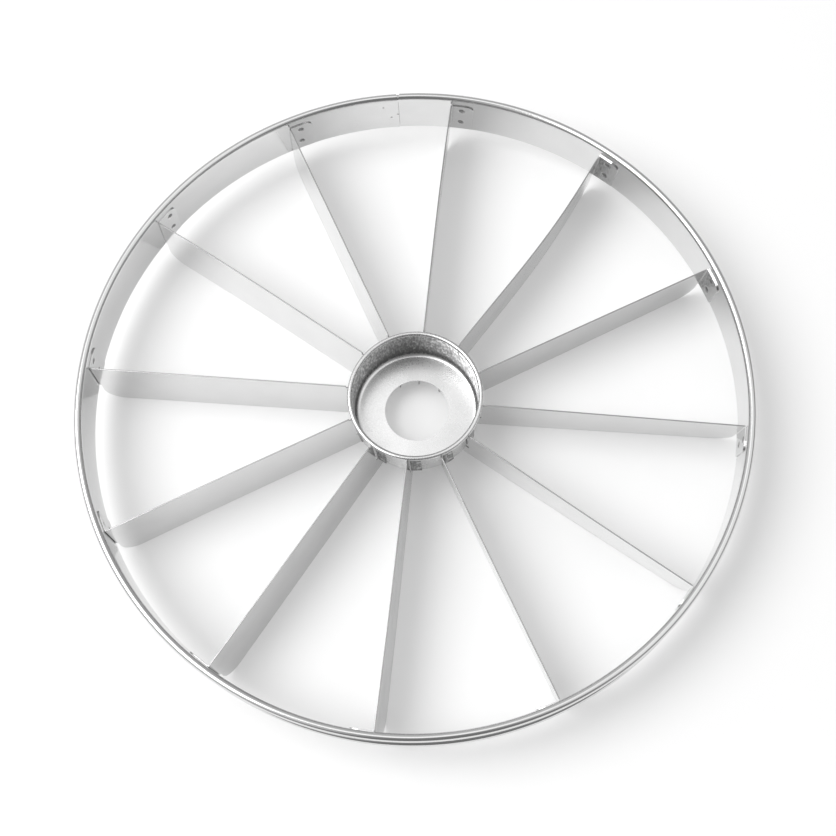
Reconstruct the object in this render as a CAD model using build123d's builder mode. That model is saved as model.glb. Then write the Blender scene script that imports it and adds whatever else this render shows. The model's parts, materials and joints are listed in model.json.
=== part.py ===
from build123d import *
import os
from math import acos, asin, atan2, degrees, sqrt

# Cake portion marker: a beaded sheet-metal ring, radial blades with a bent tab at each end, a drawn hub cup.
# Millimetres, +Z up. The origin lies on the ring's axis, in the plane of the blades' lower edges.

# Ring: one strip, rolled outward round a wire at both edges
ring_diameter = 270.0  # over the beads
ring_height = 24.2
band_thickness = 0.5
rim_wire_diameter = 2.2
wire_clearance = 0.05  # between the wire and the bead around it
curl_gap = 0.3  # between the end of the rolled edge and the wall

# Seam: the strip's ends overlap, and the outer layer steps out over a short ramp
seam_angle = 98.1
lap_length = 10.0
lap_ramp = 4.0
lap_clearance = 0.4  # above and below the outer layer, to the beads
bead_slit = 0.4  # open butt of each bead at the seam
seam_groove_width = 0.3
seam_groove_depth = 0.25
seam_weld_radius = 1.0
seam_weld_insets = (1.3, 3.7, 6.5)  # from the seam line along the lap
seam_weld_heights = (10.4, 8.6, 18.0)  # above the ring's lower edge

# Blades
blade_count = 12
blade_thickness = 0.5
blade_height = 30.5
blade_drop = 10.7  # how far the blades stand out below the ring and the hub
blade_offset = 1.0  # blade plane beside the axis, clockwise seen from above
blade_corner_radius = 8.0
bend_radius = 0.65  # inside radius of the tab bends
foot_radius = 15.4  # where the blade ends under the hub
foot_clearance = 0.3  # between the blade's foot and the hub's underside
tab_clearance = 0.05  # between a tab and the wall it is welded to

# Outer tab, from the blade's plane to the free edge, and the spots that weld it to the ring
ring_tab_length = 9.8
ring_tab_lift = 2.0  # above the ring's lower edge
ring_tab_shoulder = 6.2  # level stretch of the tab's top edge
ring_tab_slope_drop = 0.7  # fall of the top edge beyond the shoulder
ring_tab_corner_radius = 2.0
ring_weld_radius = 1.4
ring_weld_inset = 4.4
ring_weld_from_top = 3.5
ring_weld_from_bottom = 5.4

# Hub tab and its weld spots
hub_tab_length = 5.0
hub_weld_radius = 1.1
hub_weld_inset = 3.4
hub_weld_from_top = 4.6
hub_weld_from_bottom = 4.0

# Hub cup
hub_diameter = 50.0  # inside
hub_height = 21.0
hub_thickness = 0.5
hub_corner_radius = 2.0  # inside
hub_curl_diameter = 2.0
hub_curl_gap = 0.2
hub_rim_clearance = 0.4  # between the curl and the tops of the hub tabs
hub_notch_clearance = 0.9  # beside the curl, where the blade's top edge is notched
finger_hole_diameter = 26.1

# Weld nuggets sit in holes of the sheets, their ends sunk a little below the surface
weld_clearance = 0.02
weld_dent = 0.1
drill_sheets = 8  # length of the drill for these holes, in sheets

# Heights and radii that follow from these
bead_radius = rim_wire_diameter / 2 + wire_clearance + band_thickness
wall_radius = ring_diameter / 2 - 2 * bead_radius  # inner face of the ring's wall
bead_centre_radius = wall_radius + bead_radius
ring_bottom = blade_drop
ring_top = ring_bottom + ring_height
lower_bead_height = ring_bottom + bead_radius
upper_bead_height = ring_top - bead_radius

hub_radius = hub_diameter / 2
hub_outer_radius = hub_radius + hub_thickness
hub_bottom = blade_drop
hub_curl_radius = hub_curl_diameter / 2
hub_curl_height = hub_bottom + hub_height - hub_curl_radius
hub_curl_centre_radius = hub_radius + hub_curl_radius
hub_corner_height = hub_bottom + hub_thickness + hub_corner_radius

blade_line = -blade_offset
bend_mid_radius = bend_radius + blade_thickness / 2
ring_tab_radius = wall_radius - tab_clearance - blade_thickness / 2
ring_tab_bottom = ring_bottom + ring_tab_lift
hub_tab_radius = hub_outer_radius + tab_clearance + blade_thickness / 2
hub_tab_bottom = hub_corner_height
hub_tab_top = hub_curl_height - hub_curl_radius - hub_rim_clearance
foot_top = hub_bottom - foot_clearance


def bend_x(wall, side):
    """Where the blade's straight web ends, for a bend touching a wall of this middle radius."""
    reach = wall - side * bend_mid_radius
    return sqrt(reach**2 - (blade_line - side * bend_mid_radius) ** 2)


web_outer_x = bend_x(ring_tab_radius, 1)
web_inner_x = bend_x(hub_tab_radius, -1)
web_top_x = hub_radius + hub_curl_diameter + hub_notch_clearance


def along_wall(length, radius):
    """Angle from the blade's plane to a point this far along a wall, positive anticlockwise."""
    return degrees(asin(blade_line / radius) + length / radius)


def radial_plane(radius, angle, height):
    """Plane facing outward at a point of a cylinder about the axis."""
    outward = Vector(1, 0, 0).rotate(Axis.Z, angle)
    sideways = outward.rotate(Axis.Z, 90)
    return Plane(origin=outward * radius + Vector(0, 0, height), x_dir=sideways, z_dir=outward)


def curl_turn(radius, thickness, gap):
    """How far a rolled edge turns, in degrees, before its end comes this near to the wall it left."""
    return 180 + degrees(acos((thickness + gap - radius) / radius))


# Weld places
blade_angles = [360 / blade_count * index for index in range(blade_count)]
ring_weld_levels = (ring_tab_bottom + ring_weld_from_bottom, blade_height - ring_weld_from_top)
hub_weld_levels = (hub_tab_bottom + hub_weld_from_bottom, hub_tab_top - hub_weld_from_top)


def ring_weld_planes(blade_angle):
    angle = blade_angle + along_wall(-ring_weld_inset, wall_radius)
    return [radial_plane(wall_radius, angle, level) for level in ring_weld_levels]


def hub_weld_planes(blade_angle):
    angle = blade_angle + along_wall(hub_weld_inset, hub_outer_radius)
    return [radial_plane(hub_outer_radius, angle, level) for level in hub_weld_levels]


ring_welds_at = [plane for angle in blade_angles for plane in ring_weld_planes(angle)]
hub_welds_at = [plane for angle in blade_angles for plane in hub_weld_planes(angle)]
lap_inner_radius = wall_radius + band_thickness
seam_welds_at = [
    radial_plane(lap_inner_radius, seam_angle + degrees(inset / wall_radius), ring_bottom + height)
    for inset, height in zip(seam_weld_insets, seam_weld_heights)
]
drill_depth = drill_sheets * max(band_thickness, blade_thickness, hub_thickness)

os.makedirs("parts", exist_ok=True)


# Ring band
bead_turn = curl_turn(bead_radius, band_thickness, curl_gap)
bead_hollow = bead_radius - band_thickness
upper_bead = (bead_centre_radius, upper_bead_height)
lower_bead = (bead_centre_radius, lower_bead_height)
lap_bottom = ring_bottom + 2 * bead_radius + lap_clearance
lap_top = ring_top - 2 * bead_radius - lap_clearance
lap_outer_radius = lap_inner_radius + band_thickness
lap_angle = degrees(lap_length / wall_radius)
ramp_angle = degrees(lap_ramp / wall_radius)

with BuildPart() as ring_band:
    with BuildSketch(Plane.XZ):
        with BuildLine():
            Line((wall_radius, lower_bead_height), (wall_radius, upper_bead_height))
            upper_outside = CenterArc(upper_bead, bead_radius, 180, -bead_turn)
            upper_inside = CenterArc(upper_bead, bead_hollow, 180, -bead_turn)
            Line(upper_outside @ 1, upper_inside @ 1)
            lower_inside = CenterArc(lower_bead, bead_hollow, 180, bead_turn)
            lower_outside = CenterArc(lower_bead, bead_radius, 180, bead_turn)
            Line(lower_inside @ 1, lower_outside @ 1)
            Line(upper_inside @ 0, lower_inside @ 0)
        make_face()
    revolve(axis=Axis.Z)
    # the outer layer of the lap, with its ramp
    with BuildSketch(Plane.XY.offset(lap_bottom)):
        with BuildLine():
            lap_inside = CenterArc((0, 0), lap_inner_radius, seam_angle - ramp_angle, ramp_angle + lap_angle)
            lap_outside = CenterArc((0, 0), lap_outer_radius, seam_angle, lap_angle)
            Line(lap_inside @ 1, lap_outside @ 1)
            Line(lap_inside @ 0, lap_outside @ 0)
        make_face()
    extrude(amount=lap_top - lap_bottom)
    # the seam line inside, and the open butts of the two beads
    with Locations(radial_plane(wall_radius, seam_angle, (ring_bottom + ring_top) / 2)):
        Box(seam_groove_width, ring_height - 2 * bead_radius, 2 * seam_groove_depth, mode=Mode.SUBTRACT)
    with Locations(
        radial_plane(lap_inner_radius + bead_radius, seam_angle, lower_bead_height),
        radial_plane(lap_inner_radius + bead_radius, seam_angle, upper_bead_height),
    ):
        Box(bead_slit, 2 * bead_radius + lap_clearance, 2 * bead_radius, mode=Mode.SUBTRACT)
    with Locations(*ring_welds_at):
        Cylinder(ring_weld_radius + weld_clearance, drill_depth, mode=Mode.SUBTRACT)
    with Locations(*seam_welds_at):
        Cylinder(seam_weld_radius + weld_clearance, drill_depth, mode=Mode.SUBTRACT)
ring_band.part.label = "ring_band"
export_step(ring_band.part, "parts/ring_band.step")


# Rim wires inside the beads
with BuildPart() as top_rim_wire:
    with Locations((0, 0, upper_bead_height)):
        Torus(bead_centre_radius, rim_wire_diameter / 2)
top_rim_wire.part.label = "top_rim_wire"
export_step(top_rim_wire.part, "parts/top_rim_wire.step")

with BuildPart() as bottom_rim_wire:
    with Locations((0, 0, lower_bead_height)):
        Torus(bead_centre_radius, rim_wire_diameter / 2)
bottom_rim_wire.part.label = "bottom_rim_wire"
export_step(bottom_rim_wire.part, "parts/bottom_rim_wire.step")


# Hub cup
hub_turn = curl_turn(hub_curl_radius, hub_thickness, hub_curl_gap)
hub_curl_hollow = hub_curl_radius - hub_thickness
curl_centre = (hub_curl_centre_radius, hub_curl_height)
corner_centre = (hub_radius - hub_corner_radius, hub_corner_height)
finger_hole_radius = finger_hole_diameter / 2

with BuildPart() as hub_cup:
    with BuildSketch(Plane.XZ):
        with BuildLine():
            outer_corner = CenterArc(corner_centre, hub_corner_radius + hub_thickness, -90, 90)
            inner_corner = CenterArc(corner_centre, hub_corner_radius, -90, 90)
            curl_outside = CenterArc(curl_centre, hub_curl_radius, 180, -hub_turn)
            curl_inside = CenterArc(curl_centre, hub_curl_hollow, 180, -hub_turn)
            Line(outer_corner @ 1, curl_inside @ 0)
            Line(inner_corner @ 1, curl_outside @ 0)
            Line(curl_inside @ 1, curl_outside @ 1)
            Polyline(
                outer_corner @ 0,
                (finger_hole_radius, hub_bottom),
                (finger_hole_radius, hub_bottom + hub_thickness),
                inner_corner @ 0,
            )
        make_face()
    revolve(axis=Axis.Z)
    with Locations(*hub_welds_at):
        Cylinder(hub_weld_radius + weld_clearance, drill_depth, mode=Mode.SUBTRACT)
hub_cup.part.label = "hub_cup"
export_step(hub_cup.part, "parts/hub_cup.step")


# Blades: web, outer tab bent clockwise along the ring, hub tab bent anticlockwise round the hub
ring_bend_centre = (web_outer_x, blade_line - bend_mid_radius)
hub_bend_centre = (web_inner_x, blade_line + bend_mid_radius)
ring_bend_angle = degrees(atan2(ring_bend_centre[1], ring_bend_centre[0]))
hub_bend_angle = degrees(atan2(hub_bend_centre[1], hub_bend_centre[0]))
ring_tab_free = -ring_tab_length - blade_offset
ring_tab_shoulder_end = -ring_tab_shoulder - blade_offset
hub_tab_free_angle = along_wall(hub_tab_length, hub_tab_radius)
ring_tab_blank_angle = along_wall(-ring_tab_length - ring_tab_corner_radius, ring_tab_radius)

for index, blade_angle in enumerate(blade_angles):
    station = Plane.XY.rotated((0, 0, blade_angle))
    with BuildPart() as blade:
        # outer tab and its bend, a little too long, then cut to the tab's outline
        with BuildSketch(station.offset(ring_tab_bottom)):
            with BuildLine():
                CenterArc(ring_bend_centre, bend_mid_radius, 90, ring_bend_angle - 90)
                CenterArc((0, 0), ring_tab_radius, ring_bend_angle, ring_tab_blank_angle - ring_bend_angle)
            trace(line_width=blade_thickness)
        extrude(amount=blade_height - ring_tab_bottom)
        with BuildSketch(Plane(station.origin, x_dir=station.y_dir, z_dir=station.x_dir)):
            with BuildLine():
                Polyline(
                    (0, ring_tab_bottom),
                    (0, blade_height),
                    (ring_tab_shoulder_end, blade_height),
                    (ring_tab_free, blade_height - ring_tab_slope_drop),
                    (ring_tab_free, ring_tab_bottom),
                    close=True,
                )
            outline = make_face()
            fillet(outline.vertices().group_by(Axis.X)[0].sort_by(Axis.Y)[-1], ring_tab_corner_radius)
        extrude(amount=ring_diameter / 2, mode=Mode.INTERSECT)
        # web, with its rounded outer corner and the foot under the hub
        with BuildSketch(Plane(station.origin + station.y_dir * blade_line, station.x_dir, -station.y_dir)):
            with BuildLine():
                Polyline(
                    (foot_radius, 0),
                    (web_outer_x, 0),
                    (web_outer_x, blade_height),
                    (web_top_x, blade_height),
                    (web_top_x, hub_tab_top),
                    (web_inner_x, hub_tab_top),
                    (web_inner_x, foot_top),
                    (foot_radius, foot_top),
                    close=True,
                )
            web_outline = make_face()
            fillet(web_outline.vertices().group_by(Axis.Y)[0].sort_by(Axis.X)[-1], blade_corner_radius)
        extrude(amount=blade_thickness / 2, both=True)
        # hub tab and its bend
        with BuildSketch(station.offset(hub_tab_bottom)):
            with BuildLine():
                CenterArc(hub_bend_centre, bend_mid_radius, -90, hub_bend_angle - 90)
                CenterArc((0, 0), hub_tab_radius, hub_bend_angle, hub_tab_free_angle - hub_bend_angle)
            trace(line_width=blade_thickness)
        extrude(amount=hub_tab_top - hub_tab_bottom)
        with Locations(*ring_weld_planes(blade_angle)):
            Cylinder(ring_weld_radius + weld_clearance, drill_depth, mode=Mode.SUBTRACT)
        with Locations(*hub_weld_planes(blade_angle)):
            Cylinder(hub_weld_radius + weld_clearance, drill_depth, mode=Mode.SUBTRACT)
    name = f"blade_{index + 1:02d}"
    blade.part.label = name
    export_step(blade.part, f"parts/{name}.step")


# Spot welds
def nugget_spans(inner_thickness, gap, outer_thickness):
    """Length of a nugget through two sheets, and the place of its middle from the joint face."""
    length = inner_thickness + gap + outer_thickness - 2 * weld_dent
    return length, (outer_thickness - inner_thickness - gap) / 2


ring_nugget, ring_nugget_middle = nugget_spans(blade_thickness, tab_clearance, band_thickness)
with BuildPart() as ring_tab_welds:
    with Locations(*[plane.offset(ring_nugget_middle) for plane in ring_welds_at]):
        Cylinder(ring_weld_radius, ring_nugget)
ring_tab_welds.part.label = "ring_tab_welds"
export_step(ring_tab_welds.part, "parts/ring_tab_welds.step")

hub_nugget, hub_nugget_middle = nugget_spans(hub_thickness, 0, tab_clearance + blade_thickness)
with BuildPart() as hub_tab_welds:
    with Locations(*[plane.offset(hub_nugget_middle) for plane in hub_welds_at]):
        Cylinder(hub_weld_radius, hub_nugget)
hub_tab_welds.part.label = "hub_tab_welds"
export_step(hub_tab_welds.part, "parts/hub_tab_welds.step")

seam_nugget, seam_nugget_middle = nugget_spans(band_thickness, 0, band_thickness)
with BuildPart() as seam_welds:
    with Locations(*[plane.offset(seam_nugget_middle) for plane in seam_welds_at]):
        Cylinder(seam_weld_radius, seam_nugget)
seam_welds.part.label = "seam_welds"
export_step(seam_welds.part, "parts/seam_welds.step")
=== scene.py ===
import json
from math import asin, atan2, cos, exp, pi, radians, sin, sqrt

import bmesh
import bpy
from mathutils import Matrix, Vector


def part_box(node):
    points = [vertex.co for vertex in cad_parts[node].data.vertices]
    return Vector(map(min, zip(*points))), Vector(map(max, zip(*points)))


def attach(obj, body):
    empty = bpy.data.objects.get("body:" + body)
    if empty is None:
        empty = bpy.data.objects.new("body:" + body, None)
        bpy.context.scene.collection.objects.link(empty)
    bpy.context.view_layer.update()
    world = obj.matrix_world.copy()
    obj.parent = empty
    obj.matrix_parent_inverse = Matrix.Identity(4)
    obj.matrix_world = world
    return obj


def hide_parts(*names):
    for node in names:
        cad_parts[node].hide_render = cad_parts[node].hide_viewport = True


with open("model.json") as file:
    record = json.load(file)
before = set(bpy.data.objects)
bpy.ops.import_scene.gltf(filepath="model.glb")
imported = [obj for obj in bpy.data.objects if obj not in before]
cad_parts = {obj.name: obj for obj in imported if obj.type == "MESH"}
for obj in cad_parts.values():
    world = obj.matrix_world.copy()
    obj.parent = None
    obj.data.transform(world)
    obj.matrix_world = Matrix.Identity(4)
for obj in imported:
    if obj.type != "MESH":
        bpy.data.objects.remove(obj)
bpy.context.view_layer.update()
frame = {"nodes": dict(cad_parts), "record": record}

mm = 0.001
ringLow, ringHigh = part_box("ring_band")
hubLow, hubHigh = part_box("hub_cup")
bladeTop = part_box("blade_01")[1].z
mountsByName = {mount["name"]: mount for mount in frame["record"]["mounts"]}
print("stage: frame loaded")


# Shader maths as plain expressions
class Signal:
    def __init__(self, tree, socket):
        self.tree = tree
        self.socket = socket

    def maths(self, operation, *values):
        node = self.tree.nodes.new("ShaderNodeMath")
        node.operation = operation
        for slot, value in zip(node.inputs, values):
            if isinstance(value, Signal):
                self.tree.links.new(value.socket, slot)
            else:
                slot.default_value = value
        return Signal(self.tree, node.outputs[0])

    def __add__(self, other):
        return self.maths("ADD", self, other)

    def __radd__(self, other):
        return self.maths("ADD", other, self)

    def __sub__(self, other):
        return self.maths("SUBTRACT", self, other)

    def __rsub__(self, other):
        return self.maths("SUBTRACT", other, self)

    def __mul__(self, other):
        return self.maths("MULTIPLY", self, other)

    def __rmul__(self, other):
        return self.maths("MULTIPLY", other, self)

    def __pow__(self, other):
        return self.maths("POWER", self, other)

    def __rpow__(self, other):
        return self.maths("POWER", other, self)


class Finish:
    def __init__(self, owner):
        owner.use_nodes = True
        self.owner = owner
        self.tree = owner.node_tree

    def feed(self, socket, value):
        if isinstance(value, Signal):
            self.tree.links.new(value.socket, socket)
        elif isinstance(value, bpy.types.NodeSocket):
            self.tree.links.new(value, socket)
        else:
            socket.default_value = value

    def node(self, kind, settings, sockets):
        made = self.tree.nodes.new(kind)
        for name, value in settings.items():
            setattr(made, name, value)
        for name, value in sockets.items():
            self.feed(made.inputs[name], value)
        return made

    def signal(self, node, output=0):
        return Signal(self.tree, node.outputs[output])

    def mapped(self, value, low, high, fromLow, fromHigh):
        ranges = {"From Min": fromLow, "From Max": fromHigh, "To Min": low, "To Max": high}
        settings = {"interpolation_type": "SMOOTHSTEP"}
        return self.signal(self.node("ShaderNodeMapRange", settings, {"Value": value, **ranges}))

    def mixed(self, factor, first, second):
        node = self.node("ShaderNodeMix", {"data_type": "RGBA"}, {0: factor, 6: first, 7: second})
        return node.outputs[2]

    def stretched(self, place, factors):
        node = self.node("ShaderNodeVectorMath", {"operation": "MULTIPLY"}, {0: place, 1: factors})
        return node.outputs[0]

    def noise(self, place, scale, detail):
        node = self.node("ShaderNodeTexNoise", {}, {"Vector": place, "Scale": scale, "Detail": detail})
        return self.signal(node)

    def seen(self):
        # 1 for what the camera sees itself, in a reflection or through something
        node = self.node("ShaderNodeLightPath", {}, {})
        rays = self.signal(node, "Is Camera Ray") + self.signal(node, "Is Glossy Ray")
        rays = rays + self.signal(node, "Is Transmission Ray")
        return rays.maths("MINIMUM", rays, 1.0)


def grey(level):
    return (level, level, level, 1)


# Steel: bright rolled sheet with a fine grain along one way, soft cloudy stains and dark weld spots, the
# dark spot mark also carrying painted shade
steelFinishes = {
    "ring": {
        "tone": 0.74, "stain": 0.69, "mottle": 0.25, "rough": 0.09, "spread": 0.05,
        "grain": (14, 2600), "round": True, "bump": 0.05,
    },
    "blade": {
        "tone": 0.73, "stain": 0.68, "mottle": 0.25, "rough": 0.11, "spread": 0.06,
        "grain": (30, 2600), "round": False, "bump": 0.05,
    },
    # a darker and a lighter copy of the blade steel: painted shade and painted light for blades whose
    # faces the light leaves darker or brighter
    "shadedBlade": {
        "tone": 0.66, "stain": 0.60, "mottle": 0.25, "rough": 0.13, "spread": 0.06,
        "grain": (30, 2600), "round": False, "bump": 0.05,
    },
    "litBlade": {
        "tone": 0.79, "stain": 0.74, "mottle": 0.25, "rough": 0.11, "spread": 0.06,
        "grain": (30, 2600), "round": False, "bump": 0.05,
    },
    "hub": {
        "tone": 0.81, "stain": 0.62, "mottle": 0.60, "rough": 0.19, "spread": 0.12,
        "grain": (1500, 1500), "round": False, "bump": 0.3,
    },
    # sheared edges: a dull edge, darkened further as painted shade along the blades' top edges
    "cut": {
        "tone": 0.38, "stain": 0.28, "mottle": 0.40, "rough": 0.26, "spread": 0.14,
        "grain": (700, 2600), "round": False, "bump": 0.1,
    },
    "wire": {
        "tone": 0.60, "stain": 0.50, "mottle": 0.25, "rough": 0.35, "spread": 0.15,
        "grain": (20, 3000), "round": True, "bump": 0.1,
    },
    "weld": {
        "tone": 0.45, "stain": 0.16, "mottle": 0.60, "rough": 0.30, "spread": 0.20,
        "grain": (1600, 1600), "round": False, "bump": 0.3,
    },
}
# what all these finishes share
steelMarks = {
    "grainDetail": 3.0,
    "bumpDepth": 0.02 * mm,
    "cloudScale": 55.0,
    "cloudDetail": 4.0,
    "cloudRange": (0.35, 0.75),  # noise levels between which a stain grows
    "cloudShare": 0.5,
    "cloudRough": 0.05,
    # the dark spot mark: weld spots, and painted shade on the hub cup and the hub tabs
    "spotStretch": (1, 1, 0.3),
    "spotScale": 1300.0,
    "spotDetail": 2.0,
    "spotNoise": (1.1, 0.15),  # gain and least level of the noise that makes the spots ragged
    "spotRange": (0.25, 0.75),
    "spotShare": 0.85,
    "spotTone": 0.17,
    "spotRough": 0.25,
}


def steel(name):
    look = steelFinishes[name]
    finish = Finish(bpy.data.materials.new(name + "_steel"))
    place = finish.node("ShaderNodeTexCoord", {}, {}).outputs["Object"]
    along, across = look["grain"]
    if look["round"]:  # unroll the coordinates, so that the grain runs round the axis
        parts = finish.node("ShaderNodeSeparateXYZ", {}, {0: place})
        x, y, z = (finish.signal(parts, axis) for axis in range(3))
        reach = (x * x + y * y) ** 0.5
        turn = x.maths("ARCTAN2", y, x) * ringHigh.x
        place = finish.node("ShaderNodeCombineXYZ", {}, {0: turn, 1: reach, 2: z}).outputs[0]
    scaled = finish.stretched(place, (along, across, across))
    grain = finish.noise(scaled, 1.0, steelMarks["grainDetail"])
    cloud = finish.noise(place, steelMarks["cloudScale"], steelMarks["cloudDetail"])
    cloud = finish.mapped(cloud, 0.0, 1.0, *steelMarks["cloudRange"])
    # this attribute holds the dark weld spots, the painted shade on the hub cup and the hub tabs, and
    # the darker ring tabs of blades 2 and 3
    rawWeldAndShade = finish.signal(finish.node("ShaderNodeAttribute", {"attribute_name": "weldAndShade"}, {}), 2)
    streaked = finish.stretched(place, steelMarks["spotStretch"])
    ragged = finish.noise(streaked, steelMarks["spotScale"], steelMarks["spotDetail"])
    gain, least = steelMarks["spotNoise"]
    weldAndShade = finish.mapped(rawWeldAndShade * (ragged * gain + least), 0.0, 1.0, *steelMarks["spotRange"])
    stain = cloud * steelMarks["cloudShare"] + grain * look["mottle"]
    sheet = finish.mixed(stain, grey(look["tone"]), grey(look["stain"]))
    colour = finish.mixed(weldAndShade * steelMarks["spotShare"], sheet, grey(steelMarks["spotTone"]))
    bumps = {"Strength": look["bump"], "Distance": steelMarks["bumpDepth"], "Height": grain}
    bump = finish.node("ShaderNodeBump", {}, bumps)
    roughness = look["rough"] + grain * look["spread"] + cloud * steelMarks["cloudRough"]
    roughness = roughness + weldAndShade * steelMarks["spotRough"]
    shader = finish.tree.nodes["Principled BSDF"]
    finish.feed(shader.inputs["Base Color"], colour)
    finish.feed(shader.inputs["Metallic"], 1.0)
    finish.feed(shader.inputs["Roughness"], roughness)
    finish.feed(shader.inputs["Normal"], bump.outputs[0])
    return finish.owner


steels = {name: steel(name) for name in steelFinishes}
print("stage: finishes made")


# Mesh helpers
sharpAngle = radians(50)  # edges bent more than this are rounded
smoothAngle = radians(40)  # edges bent less than this are shaded smooth
roundSteps = 3


def arc(centre, radius, start, sweep, steps):
    turns = [radians(start + sweep * step / steps) for step in range(steps + 1)]
    return [(centre[0] + radius * cos(turn), centre[1] + radius * sin(turn)) for turn in turns]


def backArc(centre, radius, start, sweep, steps):
    # the same arc from its far end, without its first point
    return list(reversed(arc(centre, radius, start, sweep, steps)))[:-1]


def spread(first, last, steps):
    return [first + (last - first) * step / steps for step in range(steps + 1)]


def limited(value):
    return min(1, max(0, value))


def roundEdges(made, width):
    shape = bmesh.new()
    shape.from_mesh(made.data)
    weight = shape.edges.layers.float.new("bevel_weight_edge")
    for edge in shape.edges:
        if edge.calc_face_angle(0) > sharpAngle:
            edge[weight] = 1.0
    shape.to_mesh(made.data)
    shape.free()
    rounding = made.modifiers.new("rounding", "BEVEL")
    rounding.width = width
    rounding.segments = roundSteps
    rounding.material = len(made.data.materials) - 1
    rounding.limit_method = "WEIGHT"
    evaluated = made.evaluated_get(bpy.context.evaluated_depsgraph_get())
    rounded = bpy.data.meshes.new_from_object(evaluated)
    made.modifiers.clear()
    made.data = rounded


def piece(name, verts, faces, finish, nodes, weldAndShadeLevels=None, edge=0, cutFaces=0, brightFrom=None):
    # the last cutFaces faces are sheared edges, duller than the sheet out to the radius brightFrom; that
    # dark tone is partly the dull sheared edge and partly painted shade along the blades' top edges
    mesh = bpy.data.meshes.new(name)
    mesh.from_pydata(verts, [], faces)
    mesh.shade_smooth()
    if weldAndShadeLevels:
        layer = mesh.attributes.new("weldAndShade", "FLOAT", "POINT")
        layer.data.foreach_set("value", weldAndShadeLevels)
    mesh.materials.append(steels[finish])
    if cutFaces:
        mesh.materials.append(steels["cut"])
        plain = len(faces) - cutFaces
        mesh.polygons.foreach_set("material_index", [0] * plain + [1] * cutFaces)
    made = bpy.data.objects.new(name, mesh)
    bpy.context.scene.collection.objects.link(made)
    if edge:
        roundEdges(made, edge)
        for face in made.data.polygons:
            if face.center.xy.length > brightFrom:
                face.material_index = 0
    made.data.set_sharp_from_angle(angle=smoothAngle)
    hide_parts(*nodes)
    return made


def lathe(profile, start, sweep, steps, shift):
    # sweeps a closed profile about the axis and caps the ends of a part turn
    closed = sweep == 360
    rows = steps if closed else steps + 1
    verts = []
    for row in range(rows):
        turn = radians(start + sweep * row / steps)
        for radius, height in profile:
            angle, reach, lift = shift(turn, radius, height)
            verts.append((reach * cos(angle), reach * sin(angle), lift))
    count = len(profile)
    faces = []
    for row in range(steps):
        here, there = row * count, (row + 1) % rows * count
        for index in range(count):
            after = (index + 1) % count
            faces.append((here + index, there + index, there + after, here + after))
    if not closed:
        faces.append(tuple(range(count)))
        faces.append(tuple(reversed(range(steps * count, (steps + 1) * count))))
    return verts, faces


# Ring band: strip with both edges rolled outward, its ends lapped at the seam
ring = {
    "sheet": 0.5 * mm,
    "beadRadius": 1.65 * mm,
    "curlTurn": 301,  # degrees
    "seamAngle": 98.1,
    "seamGap": 0.05,  # degrees left open at the seam
    "seamStep": 0.16 * mm,  # the two ends don't quite line up
    "seamFade": 5,  # degrees over which they come into line
    "beadGap": 0.3,  # degrees by which each rolled edge stops short of the seam
    "beadFade": 0.5,  # degrees over which it is drawn back
    "beadFrom": 0.3,  # bead radii from the wall to where that begins
    "lap": 4.3,  # degrees of the outer layer behind the seam
    "ramp": 1.8,
    "lapRoom": 2.3,  # bead radii between the lap and the ring's edges
    "lapFaces": (0.06, 0.1),  # where its two faces start outside the wall, in sheets
    "lapSteps": 24,
    "wallSteps": (14, 10),  # inside and outside
    "beadSteps": (40, 16),  # outer and inner face of a rolled edge
    "steps": 640,
}
beadMid = ringHigh.x - ring["beadRadius"]
wallRadius = ringHigh.x - 2 * ring["beadRadius"]
upperBead = (beadMid, ringHigh.z - ring["beadRadius"])
lowerBead = (beadMid, ringLow.z + ring["beadRadius"])


def ringShift(turn, radius, height):
    fromSeam = (turn - radians(ring["seamAngle"])) % (2 * pi)
    reach = radius - ring["seamStep"] * exp(-fromSeam / radians(ring["seamFade"]))
    rolled = limited((radius - wallRadius) / ring["beadRadius"] - ring["beadFrom"])
    rolled *= abs(2 * height - ringHigh.z - ringLow.z) > ringHigh.z - ringLow.z - 4 * ring["beadRadius"]
    fromEnd = min(fromSeam, 2 * pi - fromSeam)
    cutBack = rolled * radians(ring["beadGap"]) * max(0, 1 - fromEnd / radians(ring["beadFade"]))
    return turn + (cutBack if fromSeam < pi else -cutBack), reach, height


def ringProfile():
    radius, hollow = ring["beadRadius"], ring["beadRadius"] - ring["sheet"]
    turn = ring["curlTurn"]
    insideSteps, outsideSteps = ring["wallSteps"]
    outerSteps, innerSteps = ring["beadSteps"]
    inside = [(wallRadius, z) for z in spread(lowerBead[1], upperBead[1], insideSteps)]
    outside = [(wallRadius + ring["sheet"], z) for z in spread(upperBead[1], lowerBead[1], outsideSteps)]
    chains = [
        inside[:-1],
        arc(upperBead, radius, 180, -turn, outerSteps),
        backArc(upperBead, hollow, 180, -turn, innerSteps),
        outside[:-1],
        arc(lowerBead, hollow, 180, turn, innerSteps),
        backArc(lowerBead, radius, 180, turn, outerSteps),
    ]
    return [point for chain in chains for point in chain]


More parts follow.
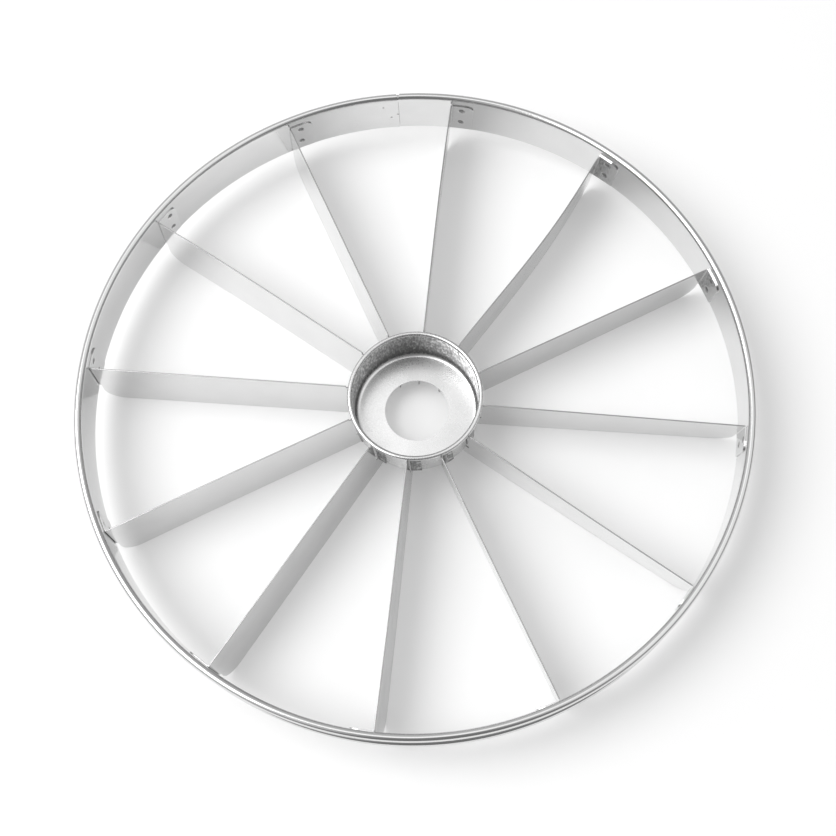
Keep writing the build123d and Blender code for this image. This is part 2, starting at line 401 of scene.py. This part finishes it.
def lapPlate(firstVert):
    # outer layer of the lap, with a ramp where it steps out from behind the wall
    start, end = ring["seamAngle"] - ring["ramp"], ring["seamAngle"] + ring["lap"]
    room = ring["lapRoom"] * ring["beadRadius"]
    low, high = ringLow.z + room, ringHigh.z - room
    inner, outer = ring["lapFaces"]
    steps = ring["lapSteps"]
    verts, faces = [], []
    for step in range(steps + 1):
        angle = start + (end - start) * step / steps
        turn = radians(angle)
        rise = min(1, (angle - start) / ring["ramp"])
        base = ringShift(turn, wallRadius + ring["sheet"], low)[1]
        for reach in (base + inner * ring["sheet"], base + ring["sheet"] * (outer + rise)):
            for z in (low, high):
                verts.append((reach * cos(turn), reach * sin(turn), z))
    last = firstVert + 4 * steps
    faces.append((firstVert, firstVert + 2, firstVert + 3, firstVert + 1))
    faces.append((last, last + 1, last + 3, last + 2))
    for a, b in ((1, 3), (3, 2), (2, 0), (0, 1)):  # the side toward the wall comes last and is left dull
        for here in range(firstVert, last, 4):
            faces.append((here + a, here + b, here + b + 4, here + a + 4))
    return verts, faces


ringStart = ring["seamAngle"] + ring["seamGap"] / 2
ringVerts, ringFaces = lathe(ringProfile(), ringStart, 360 - ring["seamGap"], ring["steps"], ringShift)
lapVerts, lapFaces = lapPlate(len(ringVerts))
ringBand = piece(
    "ring_strip", ringVerts + lapVerts, ringFaces + lapFaces, "ring", ["ring_band"],
    cutFaces=ring["lapSteps"],
)
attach(ringBand, "root")
for wireNode in ("top_rim_wire", "bottom_rim_wire"):
    wireObject = frame["nodes"][wireNode]
    wireObject.data.materials.clear()
    wireObject.data.materials.append(steels["wire"])
print("stage: ring made")


# Hub cup: drawn in one piece, curled outward at the top, set a little off the ring's centre
hub = {
    "sheet": 0.5 * mm,
    "curlRadius": 1.0 * mm,
    "curlTurn": 287,  # degrees
    "corner": 1.95 * mm,
    "swell": 0.2 * mm,
    "uneven": ((0.0012, 2, 1.0), (0.0008, 5, 0.0)),  # out of round: share, waves in a turn, start
    # painted shade on the inner wall, at its foot and at the rim, and on the underside
    "paintedShade": (1.0, 0.75),
    "shadeEnd": (0.85, 0.3),  # shares of the rounded corner: where they end, and over how much
    "underShade": 0.7,
    "offset": Vector((0.92 * mm, 0.18 * mm, 0)),
    "floorSteps": 10,
    "cornerSteps": (10, 12),  # outer and inner face
    "wallSteps": (10, 14),
    "curlSteps": (14, 32),
    "steps": 300,
}
hubRadius = hubHigh.x - 2 * hub["curlRadius"] + hub["swell"]
hubOuter = hubRadius + hub["sheet"]
holeRadius = mountsByName["finger_hole"]["dims"]["r_mm"] * mm


def hubProfile():
    cornerMid = (hubRadius - hub["corner"], hubLow.z + hub["sheet"] + hub["corner"])
    curlMid = (hubRadius + hub["curlRadius"], hubHigh.z - hub["curlRadius"])
    floorTop = hubLow.z + hub["sheet"]
    hollow = hub["curlRadius"] - hub["sheet"]
    outerCorner, innerCorner = hub["cornerSteps"]
    outerWall, innerWall = hub["wallSteps"]
    hollowSteps, curlSteps = hub["curlSteps"]
    chains = [
        [(r, hubLow.z) for r in spread(holeRadius, cornerMid[0], hub["floorSteps"])][:-1],
        arc(cornerMid, hub["corner"] + hub["sheet"], -90, 90, outerCorner)[:-1],
        [(hubOuter, z) for z in spread(cornerMid[1], curlMid[1], outerWall)][:-1],
        arc(curlMid, hollow, 180, -hub["curlTurn"], hollowSteps),
        backArc(curlMid, hub["curlRadius"], 180, -hub["curlTurn"], curlSteps),
        [(hubRadius, z) for z in spread(curlMid[1], cornerMid[1], innerWall)][:-1],
        backArc(cornerMid, hub["corner"], -90, 90, innerCorner),
        [(r, floorTop) for r in spread(cornerMid[0], holeRadius, hub["floorSteps"])],
    ]
    return [point for chain in chains for point in chain]


def hubShift(turn, radius, height):
    uneven = sum(share * sin(waves * turn + start) for share, waves, start in hub["uneven"])
    return turn, radius * (1 + uneven), height


def paintedShade(profile):
    # painted shade for each point of the profile: darkest at the foot of the inner wall and fading into
    # the rounded corner, lighter up to the rim, and on the underside
    foot, rim = hub["paintedShade"]
    end, over = hub["shadeEnd"]
    low, high = hubLow.z + hub["sheet"] + hub["corner"], hubHigh.z - hub["curlRadius"]
    shadeLevels = []
    for radius, height in profile:
        share = (height - low) / (high - low)
        shadeLevel = 0.0
        if height == hubLow.z:
            shadeLevel = hub["underShade"]
        elif radius == hubRadius and 0 <= share <= 1:
            shadeLevel = foot + (rim - foot) * share
        elif hubRadius - hub["corner"] < radius < hubRadius and height < low:
            drop = (low - height) / hub["corner"]
            shadeLevel = foot * limited((end - drop) / over)
        shadeLevels.append(shadeLevel)
    return shadeLevels


hubVerts, hubFaces = lathe(hubProfile(), 0, 360, hub["steps"], hubShift)
hubShade = paintedShade(hubProfile()) * hub["steps"]
hubCup = piece("hub_drawn_cup", hubVerts, hubFaces, "hub", ["hub_cup"], hubShade)
hubCup.location = hub["offset"]
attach(hubCup, "root")
print("stage: hub made")


# Blades: each a strip with a tab bent over at both ends
blade = {
    "count": 12,
    "sheet": 0.5 * mm,
    "bend": 0.65 * mm,  # middle of the sheet
    "seat": 0.02 * mm,  # room between tab and wall
    "corner": 8.0 * mm,
    "footRadius": 15.4 * mm,
    "footRoom": 0.3 * mm,
    "ringTab": 9.8 * mm,
    "ringTabLift": 2.0 * mm,
    "shoulder": 6.2 * mm,
    "slopeDrop": 0.7 * mm,
    "tabCorner": 2.0 * mm,
    "hubTab": 5.0 * mm,
    "hubTabLift": 2.5 * mm,
    "hubTabTop": 29.3 * mm,
    "notch": 0.9 * mm,
    "lean": 1.5 * mm,  # the lower edge stands this far anticlockwise of the top
    "bowSkew": 1.3,  # above 1 the bulge lies nearer to the ring
    "weldRadius": 1.4 * mm,
    "weldDent": 0.28 * mm,
    "weldRim": (0.75, 0.35),  # weld radii: the flat of a dent, and the slope round it
    "weldPlaces": ((4.4 * mm, 18.1 * mm), (4.9 * mm, 27.0 * mm)),  # distance from the bend and height
    "edge": 0.21 * mm,  # rounding of the cut edges
    "tabSkin": 0.2 * mm,  # points this near to the middle of the ring tab, or farther out, belong to it
    "hubTabShade": 0.9,  # painted shade on the hub tab
    "hubTabShadeFrom": 4,  # columns of its bend left without the painted shade
    "darkeningFade": 0.5,  # share of a ring tab's darkening lost at its free edge
    "rowSteps": (8, 2, 4, 48, 4),
    "footSteps": 8,
    "webEnds": (2 * mm, 9 * mm),  # lengths near the hub and near the ring with closer columns
    "webSteps": (3, 34, 18),
    "bendSteps": 8,
    "tabSteps": (34, 10),  # ring tab and hub tab
}
# how far beside its own line each blade meets the ring and the hub, in millimetres, from blade 1 on
ringMeets = (-1.7, -1.8, -2.8, -4.0, -2.6, -1.6, -0.9, -0.5, -0.9, -1.9, -0.2, -1.4)
hubMeets = (-1.8, -2.1, -2.2, -0.9, -0.9, -2.7, -1.6, -2.1, -2.4, -0.6, -1.2, -1.7)
# how far some blades bulge between their ends, clockwise where negative, counted from 0
bladeBows = {2: -2.3, 3: 0.5, 5: -0.5, 7: -0.2, 9: 0.15, 10: -0.1, 11: -0.2}
# how much farther than the lean the lower edge stands anticlockwise at the ring and at the hub
ringTwists = (2.5, 1.7, 1.4, 0.0, 0.0, 0.0, 0.0, 0.0, 0.9, 0.3, 0.6, 2.1)
hubTwists = (0.5, 0.1, 0.4, 0.0, 0.0, -0.1, -0.6, -0.6, -0.1, -1.0, 0.4, 0.1)
weldShifts = {5: 1.6 * mm}  # the spots of blade 6 are farther out on its tab
tabDarkening = {1: 0.66, 2: 0.66}  # blades 2 and 3 have darker ring tabs
# blades 2, 3, 9 and 10 take the darker copy of the blade steel as painted shade, blades 6 and 12 the
# lighter copy as painted light
bladeLightCopies = {
    1: "shadedBlade", 2: "shadedBlade", 8: "shadedBlade", 9: "shadedBlade",
    5: "litBlade", 11: "litBlade",
}
bladeStep = 360 / blade["count"]
footTop = hubLow.z - blade["footRoom"]
ringTabBottom = ringLow.z + blade["ringTabLift"]
hubTabBottom = hubLow.z + blade["hubTabLift"]
ringTabRadius = wallRadius - blade["seat"] - blade["sheet"] / 2
hubTabRadius = hubOuter + blade["seat"] + blade["sheet"] / 2


def rowHeights():
    stops = (0, footTop, ringTabBottom, hubTabBottom, blade["hubTabTop"], bladeTop)
    heights = [0.0]
    for low, high, steps in zip(stops, stops[1:], blade["rowSteps"]):
        heights += spread(low, high, steps)[1:]
    return heights


def bladeStrip(number):
    # middle surface of one blade, as columns of points with their normals, in the blade's own frame
    turn = radians(bladeStep * number)
    hubX = hub["offset"].x * cos(turn) + hub["offset"].y * sin(turn)
    hubY = hub["offset"].y * cos(turn) - hub["offset"].x * sin(turn)
    bend = blade["bend"]
    innerTop = hubMeets[number] * mm + hubY
    outerTop = ringMeets[number] * mm
    heights = rowHeights()
    footRow = heights.index(footTop)
    ringRow = heights.index(ringTabBottom)
    hubRow = heights.index(hubTabBottom)
    hubTopRow = heights.index(blade["hubTabTop"])
    topRow = len(heights) - 1
    innerLean = blade["lean"] + hubTwists[number] * mm
    outerLean = blade["lean"] + ringTwists[number] * mm
    innerMid = innerTop + innerLean / 2
    outerMid = outerTop + outerLean / 2
    webIn = hubX + sqrt((hubTabRadius + bend) ** 2 - (innerMid + bend - hubY) ** 2)
    webOut = sqrt((ringTabRadius - bend) ** 2 - (outerMid - bend) ** 2)

    def line(x, z):
        share = (x - webIn) / (webOut - webIn)
        bow = bladeBows.get(number, 0) * mm * sin(pi * limited(share) ** blade["bowSkew"])
        lean = innerLean + (outerLean - innerLean) * share
        return innerTop + (outerTop - innerTop) * share + bow + lean * (1 - z / bladeTop)

    def lowEdge(x):
        over = x - (webOut - blade["corner"])
        return blade["corner"] - sqrt(max(0, blade["corner"] ** 2 - over**2)) if over > 0 else 0.0

    columns = []  # each is a list over rows of (point, normal) or None
    for x in spread(blade["footRadius"], webIn, blade["footSteps"])[:-1]:
        foot = [((x, line(x, z), z), (0, 1)) for z in heights[: footRow + 1]]
        columns.append(foot + [None] * (len(heights) - footRow - 1))
    webStart = len(columns)
    hubEnd, ringEnd = blade["webEnds"]
    hubSteps, midSteps, ringSteps = blade["webSteps"]
    webX = spread(webIn, webIn + hubEnd, hubSteps)[:-1]
    webX += spread(webIn + hubEnd, webOut - ringEnd, midSteps)[:-1]
    webX += spread(webOut - ringEnd, webOut, ringSteps)
    for x in webX:
        low = lowEdge(x)
        column = []
        for z in heights:
            lifted = low + (z / footTop) * (footTop - low) if z < footTop else z
            column.append(((x, line(x, lifted), lifted), (0, 1)))
        if x < webIn + blade["notch"]:
            column[hubTopRow + 1 :] = [None] * (topRow - hubTopRow)
        columns.append(column)

    def bendColumns(x, sign, rows):
        # sign 1 turns clockwise into the ring tab, -1 anticlockwise into the hub tab
        centre = Vector((0, 0)) if sign > 0 else Vector((hubX, hubY))
        first = radians(90) * sign
        made = []
        for step in range(1, blade["bendSteps"] + 1):
            column = []
            for row, z in enumerate(heights):
                if row not in rows:
                    column.append(None)
                    continue
                mid = Vector((x, line(x, z) - sign * bend))
                aim = mid - centre if sign > 0 else centre - mid
                last = atan2(aim.y, aim.x)
                if sign < 0:
                    last = last - 2 * pi if last > 0 else last
                angle = first + (last - first) * step / blade["bendSteps"]
                out = Vector((cos(angle), sin(angle)))
                column.append(((*(mid + out * bend), z), tuple(out * sign)))
            made.append(column)
        return made

    ringTabSteps, hubTabSteps = blade["tabSteps"]
    columns += bendColumns(webOut, 1, range(ringRow, topRow + 1))
    ringHead = columns[-1]
    for s in spread(0, blade["ringTab"] - bend, ringTabSteps)[1:]:
        beyond = bend + s
        slope = max(0, (beyond - blade["shoulder"]) / (blade["ringTab"] - blade["shoulder"]))
        top = bladeTop - blade["slopeDrop"] * slope
        edge = blade["ringTab"] - beyond
        if edge < blade["tabCorner"]:
            top -= blade["tabCorner"] - sqrt(blade["tabCorner"] ** 2 - (blade["tabCorner"] - edge) ** 2)
        column = []
        for z, start in zip(heights, ringHead):
            if start is None:
                column.append(None)
                continue
            middle = hubTabBottom
            lifted = z if z < middle else middle + (z - middle) * (top - middle) / (bladeTop - middle)
            around = atan2(start[0][1], start[0][0]) - s / ringTabRadius
            out = (cos(around), sin(around))
            column.append(((ringTabRadius * out[0], ringTabRadius * out[1], lifted), out))
        columns.append(column)
    hubColumns = bendColumns(webIn, -1, range(hubRow, hubTopRow + 1))
    hubHead = hubColumns[-1]
    for s in spread(0, blade["hubTab"] - bend, hubTabSteps)[1:]:
        column = []
        for start in hubHead:
            if start is None:
                column.append(None)
                continue
            around = atan2(start[0][1] - hubY, start[0][0] - hubX) + s / hubTabRadius
            out = (cos(around), sin(around))
            place = (hubX + hubTabRadius * out[0], hubY + hubTabRadius * out[1], start[0][2])
            column.append((place, (-out[0], -out[1])))
        hubColumns.append(column)
    return columns, hubColumns, webStart


def ringWelds(number):
    # at the height of the spots a blade stands about a third of its lean beside its top edge
    line = asin((ringMeets[number] * mm + blade["lean"] / 3) / ringTabRadius)
    shift = weldShifts.get(number, 0)
    return [(line - (inset + shift) / ringTabRadius, level) for inset, level in blade["weldPlaces"]]


def bladeSolid(number):
    columns, hubColumns, webStart = bladeStrip(number)
    points, normals, pointDarkness, index = [], [], [], {}
    chains = [("main", columns), ("hub", [columns[webStart]] + hubColumns)]
    quads = []
    for name, chain in chains:
        for c, column in enumerate(chain):
            for r, item in enumerate(column):
                if item is None:
                    continue
                if name == "hub" and c == 0:
                    index[name, c, r] = index["main", webStart, r]
                    continue
                index[name, c, r] = len(points)
                points.append(Vector(item[0]))
                normals.append(Vector((item[1][0], item[1][1], 0)))
                # the hub tab beyond its bend takes painted shade
                shadedHubTab = name == "hub" and c > blade["hubTabShadeFrom"]
                pointDarkness.append(blade["hubTabShade"] if shadedHubTab else 0.0)
        for c in range(len(chain) - 1):
            for r in range(len(chain[c]) - 1):
                corners = [(name, c, r), (name, c + 1, r), (name, c + 1, r + 1), (name, c, r + 1)]
                if all(corner in index for corner in corners):
                    quad = tuple(index[corner] for corner in corners)
                    quads.append(quad if name == "main" else tuple(reversed(quad)))
    # weld dents on the face of the ring tab
    weldAndShadeLevels, dents = [], []
    bendAngle = asin(ringMeets[number] * mm / ringTabRadius)
    flat, slope = blade["weldRim"]
    for point, darkness in zip(points, pointDarkness):
        deep = 0.0
        around = atan2(point.y, point.x)
        if point.xy.length > ringTabRadius - blade["tabSkin"]:
            share = (bendAngle - around) * ringTabRadius / blade["ringTab"]
            # the ring tabs of blades 2 and 3 are darker, less so toward the free edge
            darkness = tabDarkening.get(number, 0.0) * (1 - blade["darkeningFade"] * share)
            for weldAngle, level in ringWelds(number):
                offset = Vector(((around - weldAngle) * ringTabRadius, point.z - level))
                away = offset.length / blade["weldRadius"]
                deep = max(deep, 1 - limited((away - flat) / slope))
        weldAndShadeLevels.append(max(deep, darkness))
        dents.append(deep * blade["weldDent"])
    count = len(points)
    half = blade["sheet"] / 2
    verts = [p - n * (half - d) for p, n, d in zip(points, normals, dents)]
    verts += [p + n * half for p, n in zip(points, normals)]
    faces = [tuple(quad) for quad in quads]
    faces += [tuple(corner + count for corner in reversed(quad)) for quad in quads]
    # the edges that only one quad has are closed by a strip of cut faces
    edges = {}
    for quad in quads:
        for a, b in zip(quad, quad[1:] + quad[:1]):
            edges[a, b] = True
    for a, b in edges:
        if (b, a) not in edges:
            faces.append((b, a, a + count, b + count))
    return verts, faces, weldAndShadeLevels + [0.0] * count, len(faces) - 2 * len(quads)


brightFrom = ringTabRadius - 0.6 * blade["sheet"]  # just inside the face of the ring tabs
for number in range(blade["count"]):
    nodeName = f"blade_{number + 1:02d}"
    bladeVerts, bladeFaces, bladeWeldAndShade, cutCount = bladeSolid(number)
    strip = piece(
        nodeName + "_strip", bladeVerts, bladeFaces, bladeLightCopies.get(number, "blade"),
        [nodeName], bladeWeldAndShade, blade["edge"], cutCount, brightFrom,
    )
    strip.rotation_euler = (0, 0, radians(bladeStep * number))
    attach(strip, "root")
print("stage: blades made")


# Spot welds: flattened nuggets through two sheets, their faces a little sunk and uneven
welds = {
    "ringFace": 0.60 * mm,  # radius on the tab
    "ringBack": 1.25 * mm,  # radius on the outside of the ring
    "hubFace": 0.55 * mm,  # radius inside the cup
    "hubBack": 0.95 * mm,  # radius on the hub tab
    "hubInset": 3.4 * mm,
    "hubLevels": (17.2 * mm, 24.7 * mm),
    "seamFace": 0.42 * mm,
    "seamBack": 0.80 * mm,
    # distance from the seam and height
    "seamPlaces": ((0.5 * mm, 22.6 * mm), (3.4 * mm, 20.4 * mm), (6.5 * mm, 28.7 * mm)),
    "proud": 0.03 * mm,
    "dish": 0.015 * mm,  # hollow in the middle of a face
    "dishRim": 0.6,  # share of it at the edge of the hollow
    "rings": (0.45, 0.85, 0.97),  # shares of the radius: the hollow's floor and edge, and the shank
    "skin": 0.12 * mm,  # from a face to the shank
    "uneven": ((0.09, 2, 1.7), (0.06, 5, 0.9)),  # share, waves round the rim, change from spot to spot
    "around": 28,
}


def nuggets(places):
    # each place: centre of the axis, turn, level, radius of the front face, back face radius,
    # distance of both faces from the axis
    verts, faces, around = [], [], welds["around"]
    core, edge, shank = welds["rings"]
    dish, dishRim, skin = welds["dish"], welds["dishRim"] * welds["dish"], welds["skin"]
    for count, (centre, turn, level, front, back, near, far) in enumerate(places):
        out = Vector((cos(turn), sin(turn), 0))
        side = Vector((-sin(turn), cos(turn), 0))
        rings = [
            (core * front, near + dish), (edge * front, near + dishRim), (front, near),
            (shank * front, near + skin), (shank * back, far - skin), (back, far),
            (edge * back, far - dishRim), (core * back, far - dish),
        ]
        first = len(verts)
        for radius, reach in rings:
            for step in range(around):
                angle = 2 * pi * step / around
                wide = radius
                for share, waves, change in welds["uneven"]:
                    wide += radius * share * sin(waves * angle + change * count)
                place = centre + out * reach + Vector((0, 0, level))
                place += side * (wide * cos(angle))
                place.z += wide * sin(angle)
                verts.append(place)
        for row in range(len(rings) - 1):
            here, there = first + row * around, first + (row + 1) * around
            for step in range(around):
                after = (step + 1) % around
                faces.append((here + step, there + step, there + after, here + after))
        faces.append(tuple(first + step for step in range(around)))
        last = first + (len(rings) - 1) * around
        faces.append(tuple(last + around - 1 - step for step in range(around)))
    return verts, faces


def makeWelds():
    axis = Vector((0, 0, 0))
    half = blade["sheet"] / 2
    proud = welds["proud"]
    ringPlaces, hubPlaces, seamPlaces = [], [], []
    for number in range(blade["count"]):
        turn = radians(bladeStep * number)
        for around, level in ringWelds(number):
            near = ringTabRadius - half + blade["weldDent"] - proud
            far = wallRadius + ring["sheet"] + proud
            radii = (welds["ringFace"], welds["ringBack"])
            ringPlaces.append((axis, turn + around, level, *radii, near, far))
        for level in welds["hubLevels"]:
            around = turn + asin((hubMeets[number] * mm + blade["lean"] / 2) / hubTabRadius)
            around += welds["hubInset"] / hubTabRadius
            near = hubRadius - proud
            far = hubTabRadius + half + proud
            radii = (welds["hubFace"], welds["hubBack"])
            hubPlaces.append((hub["offset"], around, level, *radii, near, far))
    for away, level in welds["seamPlaces"]:
        turn = radians(ring["seamAngle"]) + away / wallRadius
        near = ringShift(turn, wallRadius, level)[1] - proud
        far = wallRadius + 2 * ring["sheet"] + proud
        seamPlaces.append((axis, turn, level, welds["seamFace"], welds["seamBack"], near, far))
    sets = (
        ("ring_tab_spots", ringPlaces, "ring_tab_welds", "weld"),
        ("hub_tab_spots", hubPlaces, "hub_tab_welds", "hub"),
        ("seam_spots", seamPlaces, "seam_welds", "weld"),
    )
    for name, places, node, look in sets:
        verts, faces = nuggets(places)
        made = piece(name, verts, faces, look, [node])
        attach(made, "root")


makeWelds()
print("stage: welds made")


# Floor, light and camera
studio = {
    "floorRadius": 6.0,
    "floorCorners": 96,
    "floorTones": (0.97, 0.96),
    "floorFlecks": (40.0, 2.0),  # scale and detail of the change between them
    "floorRough": 0.9,
    "floorShine": 0.1,
    "floorWhite": 0.25,  # share of plain white in what the eye sees of the floor
    "floorFar": (0.6, 2.0),  # distances between which that share grows to all of it
    "boxAim": (188, 58),  # azimuth and elevation in degrees
    "boxAway": 1.5,
    "boxWide": 1.05,
    "boxPower": 13.6,
    "ambient": 0.37,
    # azimuth, elevation, inner and outer angle in degrees, and strength
    "glows": (
        (230, 43, 15, 26, 0.55), (0, 62, 10, 35, 0.65), (147, 71, 2, 25, 0.8), (146, 46, 12, 72, 0.27),
    ),
    "flags": ((275, 32, 8, 48, 0.45), (286, 72, 4, 14, 0.5)),
    "backdrop": (0.03, 0.07),  # heights between which the pale backdrop ends
}
camera = {
    "place": Vector((34.35, -171.0, 545.3)) * mm,
    "turn": (17.676, 1.805, 5.34),  # degrees
    "focalPixels": 1365.0,
    "imagePixels": 836,
    "sensor": 36.0,
}


def heading(azimuth, elevation):
    turn, rise = radians(azimuth), radians(elevation)
    return Vector((cos(rise) * cos(turn), cos(rise) * sin(turn), sin(rise)))


def makeFloor():
    turns = [2 * pi * corner / studio["floorCorners"] for corner in range(studio["floorCorners"])]
    rim = [Vector((cos(turn), sin(turn), 0)) * studio["floorRadius"] for turn in turns]
    mesh = bpy.data.meshes.new("floor")
    mesh.from_pydata(rim, [], [tuple(range(len(rim)))])
    finish = Finish(bpy.data.materials.new("pale_floor"))
    place = finish.node("ShaderNodeTexCoord", {}, {}).outputs["Object"]
    fleck = finish.noise(place, *studio["floorFlecks"])
    tone, fleckTone = studio["floorTones"]
    shader = finish.tree.nodes["Principled BSDF"]
    finish.feed(shader.inputs["Base Color"], finish.mixed(fleck, grey(tone), grey(fleckTone)))
    finish.feed(shader.inputs["Roughness"], studio["floorRough"])
    finish.feed(shader.inputs["Specular IOR Level"], studio["floorShine"])
    away = finish.signal(finish.node("ShaderNodeVectorMath", {"operation": "LENGTH"}, {0: place}), 1)
    share = finish.mapped(away, studio["floorWhite"], 1.0, *studio["floorFar"])
    white = finish.node("ShaderNodeEmission", {}, {"Color": grey(1.0), "Strength": 1.0})
    sockets = {0: finish.seen() * share, 1: shader.outputs[0], 2: white.outputs[0]}
    joined = finish.node("ShaderNodeMixShader", {}, sockets)
    finish.feed(finish.tree.nodes["Material Output"].inputs["Surface"], joined.outputs[0])
    mesh.materials.append(finish.owner)
    floor = bpy.data.objects.new("floor", mesh)
    bpy.context.scene.collection.objects.link(floor)


def makeWorld():
    world = bpy.data.worlds.new("studio")
    finish = Finish(world)
    way = finish.node("ShaderNodeTexCoord", {}, {}).outputs["Generated"]

    def lobe(azimuth, elevation, inner, outer):
        aim = heading(azimuth, elevation)
        node = finish.node("ShaderNodeVectorMath", {"operation": "DOT_PRODUCT"}, {0: way, 1: aim})
        return finish.mapped(finish.signal(node, 1), 0.0, 1.0, cos(radians(outer)), cos(radians(inner)))

    level = studio["ambient"]
    for *shape, strength in studio["glows"]:
        level = level + lobe(*shape) * strength
    for *shape, strength in studio["flags"]:
        level = level * (1 - lobe(*shape) * strength)
    shade = finish.node("ShaderNodeCombineColor", {}, {0: level, 1: level, 2: level})
    height = finish.signal(finish.node("ShaderNodeSeparateXYZ", {}, {0: way}), 2)
    pale = finish.seen() * finish.mapped(height, 1.0, 0.0, *studio["backdrop"])
    colour = finish.mixed(pale, shade.outputs[0], grey(1.0))
    finish.feed(finish.tree.nodes["Background"].inputs["Color"], colour)
    bpy.context.scene.world = world


def makeSoftbox():
    lamp = bpy.data.lights.new("softbox", "AREA")
    lamp.shape = "DISK"
    lamp.size = studio["boxWide"]
    lamp.energy = studio["boxPower"]
    box = bpy.data.objects.new("softbox", lamp)
    box.location = heading(*studio["boxAim"]) * studio["boxAway"]
    box.rotation_euler = (-box.location).to_track_quat("-Z", "Y").to_euler()
    bpy.context.scene.collection.objects.link(box)


def makeCamera():
    data = bpy.data.cameras.new("camera")
    data.sensor_width = camera["sensor"]
    data.lens = camera["sensor"] * camera["focalPixels"] / camera["imagePixels"]
    made = bpy.data.objects.new("camera", data)
    made.location = camera["place"]
    made.rotation_euler = [radians(turn) for turn in camera["turn"]]
    bpy.context.scene.collection.objects.link(made)
    bpy.context.scene.camera = made


makeFloor()
makeWorld()
makeSoftbox()
makeCamera()
bpy.context.scene.view_settings.view_transform = "Standard"
print("stage: studio made")
